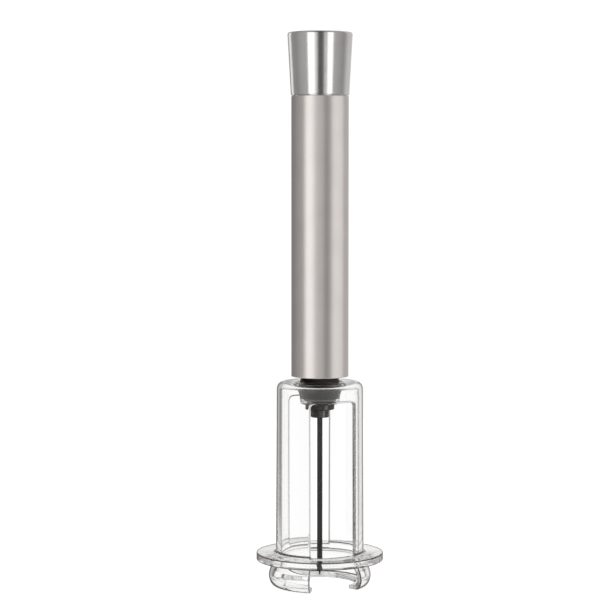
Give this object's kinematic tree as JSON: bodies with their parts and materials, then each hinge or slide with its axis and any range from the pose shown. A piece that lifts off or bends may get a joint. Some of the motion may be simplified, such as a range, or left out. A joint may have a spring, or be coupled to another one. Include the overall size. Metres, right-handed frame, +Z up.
{
  "type": "air pump wine opener",
  "caption": "Hand-pumped air-pressure wine opener with a flared cap, straight tube handle, black hub, hollow needle and a clear windowed bottle guard on an open foot ring.",
  "frame": {"origin": "centre of the foot ring's underside, on the needle's axis", "axes": "+Z up along the needle and the pump's stroke, -Y through the gap in the foot ring and the front window"},
  "size_m": [0.0558, 0.0558, 0.2419],
  "materials": {
    "turned_aluminium": "polished, fine turned grooves",
    "satin_aluminium": "satin, warm grey",
    "black_plastic": "semi-gloss",
    "pump_plastic": "natural, as moulded",
    "rubber": "matte",
    "steel": "ground",
    "brass": "turned",
    "coated_steel": "black low-friction coating",
    "clear_plastic": "clear, polished"
  },
  "bodies": {
    "guard": {"bottle_guard": "clear_plastic"},
    "needle_unit": {"needle_hub": "black_plastic", "piston_rod": "steel", "piston": "black_plastic", "rod_washer": "rubber", "valve_seat": "brass", "valve_spring": "steel", "needle_collar": "black_plastic", "needle_ferrule": "brass", "needle": "coated_steel"},
    "handle": {"handle_tube": "satin_aluminium", "grip_cap": "turned_aluminium", "pump_barrel": "pump_plastic", "barrel_head": "pump_plastic", "head_o_ring": "rubber", "cap_gasket": "rubber", "head_bumper": "rubber", "rod_guide": "black_plastic", "stroke_bumper": "rubber", "circlip": "steel"},
    "check_valve": {"valve_ball": "steel"},
    "inlet_seal": {"piston_seal_ring": "rubber"}
  },
  "joints": [
    {"name": "guard_release", "type": "slide", "parent": "guard", "child": "needle_unit", "axis": [0, 0, 1], "range_m": [0, 0.088]},
    {"name": "handle_stroke", "type": "slide", "parent": "needle_unit", "child": "handle", "axis": [0, 0, 1], "range_m": [0, 0.0825]},
    {"name": "check_valve_lift", "type": "slide", "parent": "needle_unit", "child": "check_valve", "axis": [0, 0, -1], "range_m": [0, 0.0012], "stiffness_N_per_m": 20, "springref_m": -0.002, "deforming": ["valve_spring"]},
    {"name": "inlet_seal_float", "type": "slide", "parent": "needle_unit", "child": "inlet_seal", "axis": [0, 0, 1], "range_m": [0, 0.0008]}
  ]
}
